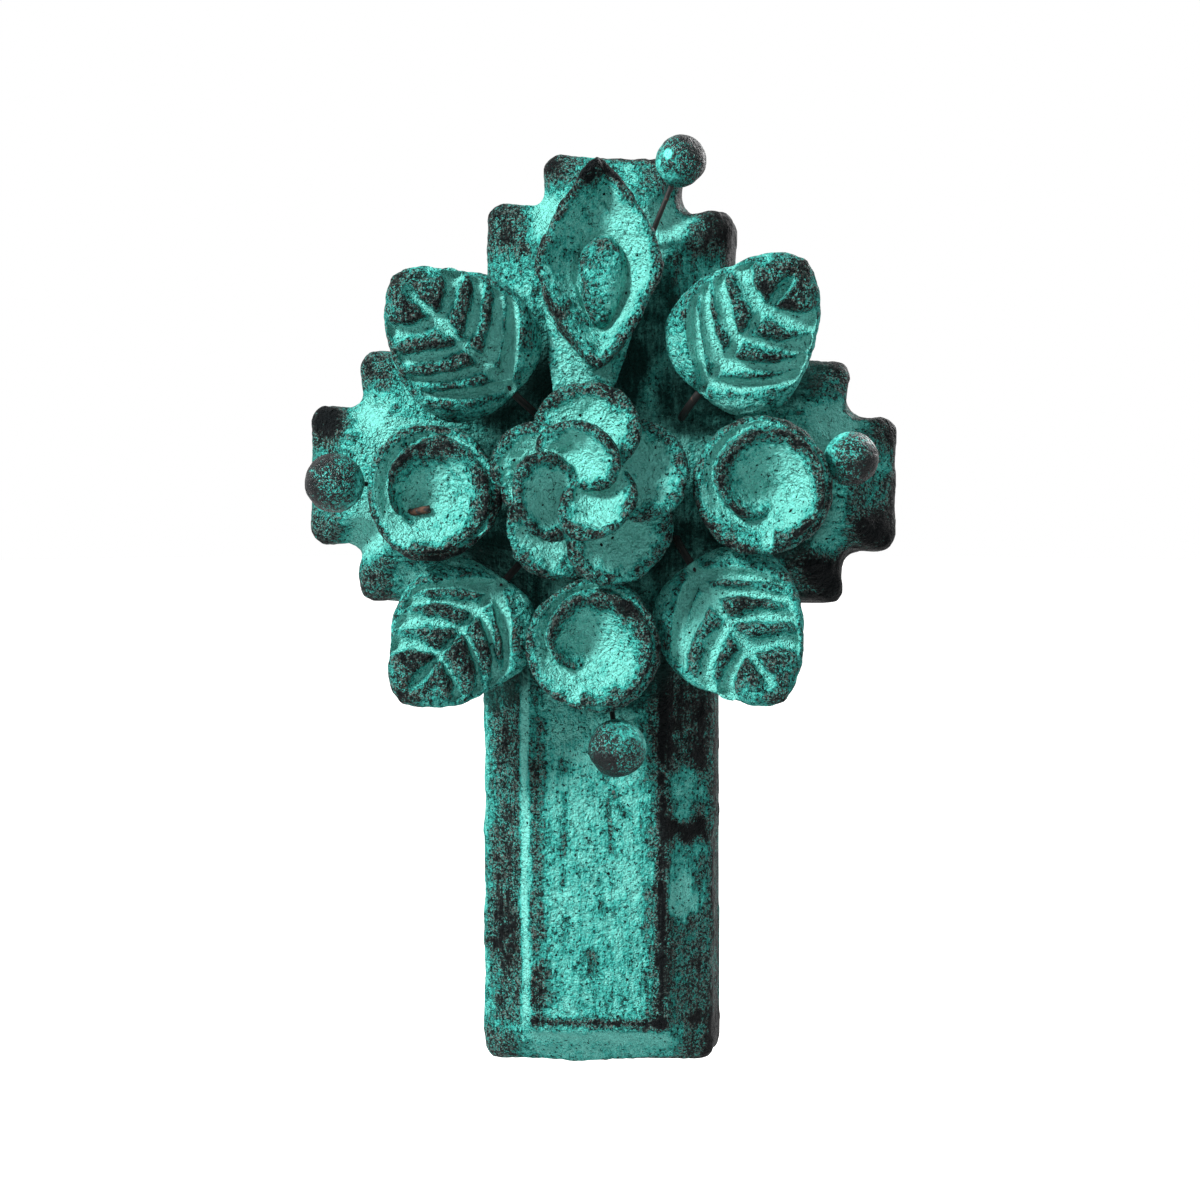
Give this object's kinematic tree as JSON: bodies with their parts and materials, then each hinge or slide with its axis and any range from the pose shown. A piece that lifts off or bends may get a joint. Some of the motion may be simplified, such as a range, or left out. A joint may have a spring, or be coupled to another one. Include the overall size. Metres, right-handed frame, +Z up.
{
  "type": "wall cross",
  "caption": "Fired clay wall cross with stepped arm ends, a bevelled front and applied clay leaves, a rose, a calla lily, rolled flowers and berries on iron wires.",
  "frame": {"origin": "on the flat back, behind the middle of the crossing", "axes": "+Z up the stem, +X to the right as the front is seen, front towards -Y, flat back in the plane y = 0"},
  "size_m": [0.1164, 0.0489, 0.1816],
  "materials": {
    "cross_clay": "matte turquoise paint rubbed back to charcoal clay",
    "flower_clay": "matte turquoise paint, rims rubbed back to charcoal clay",
    "leaf_clay": "matte turquoise paint in the veins, ridges rubbed back to charcoal clay",
    "berry_clay": "satin, mostly rubbed back to charcoal clay",
    "iron_wire": "dark rusted iron"
  },
  "bodies": {
    "root": {"cross_body": "cross_clay", "rose": "flower_clay", "calla_lily": "flower_clay", "left_rolled_flower": "flower_clay", "right_rolled_flower": "flower_clay", "bottom_rolled_flower": "flower_clay", "top_left_leaf": "leaf_clay", "top_right_leaf": "leaf_clay", "bottom_left_leaf": "leaf_clay", "bottom_right_leaf": "leaf_clay", "top_berry": "berry_clay", "left_berry": "berry_clay", "right_berry": "berry_clay", "bottom_berry": "berry_clay", "rose_wire": "iron_wire", "calla_lily_wire": "iron_wire", "left_rolled_flower_wire": "iron_wire", "right_rolled_flower_wire": "iron_wire", "bottom_rolled_flower_wire": "iron_wire", "top_left_leaf_wire": "iron_wire", "top_right_leaf_wire": "iron_wire", "bottom_left_leaf_wire": "iron_wire", "bottom_right_leaf_wire": "iron_wire", "top_berry_wire": "iron_wire", "left_berry_wire": "iron_wire", "right_berry_wire": "iron_wire", "bottom_berry_wire": "iron_wire"}
  },
  "joints": []
}
